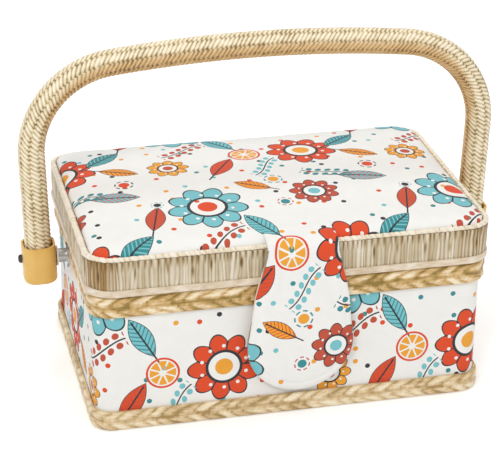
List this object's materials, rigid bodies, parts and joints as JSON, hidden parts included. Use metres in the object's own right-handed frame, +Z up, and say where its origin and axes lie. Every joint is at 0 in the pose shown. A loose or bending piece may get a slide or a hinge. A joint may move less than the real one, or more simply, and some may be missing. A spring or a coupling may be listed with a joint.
{
  "type": "sewing basket",
  "caption": "Cloth-covered rectangular sewing basket with a padded hinged lid, front closing tab, lift-out tray and a cord-wound carrying handle.",
  "frame": {"origin": "middle of the box's underside", "axes": "+X along the box to the viewer's right, +Y from the front with the closing tab to the hinged back, +Z up"},
  "size_m": [0.2956, 0.1708, 0.2075],
  "materials": {
    "board": "plain grey-brown pressed board, cut edges",
    "underside_paper": "matt covering paper",
    "printed_cotton": "plain-weave cotton, off-white, printed with a scattered motif in orange-red, teal, mustard and charcoal",
    "satin_lining": "cream satin",
    "gold_braid": "plaited metallic braid, light gold",
    "gold_lame": "pleated metallic cloth, light gold",
    "gold_piping": "ruched cream-gold piping",
    "cream_binding": "smooth cream-gold bias binding",
    "gold_cord": "metallic cord wound in a close herringbone",
    "foam": "soft upholstery foam",
    "pincushion_cloth": "brick-red satin, stuffed",
    "plated_steel": "nickel-plated steel",
    "hinge_brass": "light brass",
    "dark_metal": "burnished dark metal",
    "nylon": "natural nylon",
    "core_plastic": "plain plastic cane",
    "mustard_plastic": "mustard-tan moulded plastic",
    "tray_plastic": "cream moulded plastic"
  },
  "bodies": {
    "base": {"bottom_cover": "underside_paper", "bottom_board": "board", "wall_board": "board", "wall_cover": "printed_cotton", "body_lining": "satin_lining", "rim_braid": "gold_braid", "foot_braid": "gold_braid", "tray_ledges": "satin_lining", "snap_socket": "plated_steel", "snap_washer": "plated_steel", "base_leaves": "hinge_brass", "hinge_pins": "hinge_brass", "base_rivets": "hinge_brass", "inner_washers": "plated_steel", "wall_washers": "plated_steel", "spacer_sleeves": "plated_steel"},
    "handle": {"pivot_bolts": "plated_steel", "pivot_caps": "dark_metal", "friction_washers": "nylon", "handle_core": "core_plastic", "handle_winding": "gold_cord", "ferrule_left": "mustard_plastic", "ferrule_right": "mustard_plastic"},
    "lid": {"lid_frame": "board", "lid_board": "board", "lid_pad": "foam", "lid_cover": "printed_cotton", "lid_band": "gold_lame", "lid_piping": "gold_piping", "lid_binding": "cream_binding", "lid_lining": "satin_lining", "pincushion": "pincushion_cloth", "pocket": "satin_lining", "pocket_elastic": "satin_lining", "lid_leaves": "hinge_brass", "lid_rivets": "hinge_brass", "tab_root": "printed_cotton"},
    "tab": {"tab_face": "printed_cotton", "tab_card": "board", "tab_back": "satin_lining", "snap_stud": "plated_steel"},
    "tray": {"tray": "tray_plastic"}
  },
  "joints": [
    {"name": "lid_hinge", "type": "hinge", "parent": "base", "child": "lid", "pos_m": [0, 0.0825, 0.088], "axis": [-1, 0, 0], "range_deg": [0, 95]},
    {"name": "tab_lift", "type": "hinge", "parent": "lid", "child": "tab", "pos_m": [0.0035, -0.0836, 0.1093], "axis": [-1, 0, 0], "range_deg": [0, 110]},
    {"name": "tray_lift", "type": "slide", "parent": "base", "child": "tray", "axis": [0, 0, 1], "range_m": [0, 0.05]},
    {"name": "handle_swing", "type": "hinge", "parent": "base", "child": "handle", "pos_m": [0, 0.008, 0.0741], "axis": [-1, 0, 0], "range_deg": [-90, 121]}
  ],
  "couplings": [
    {"joint": "tray_lift", "follows": "lid_hinge", "m_per_rad": 0.03},
    {"joint": "handle_swing", "follows": "lid_hinge", "ratio": 1.27}
  ]
}
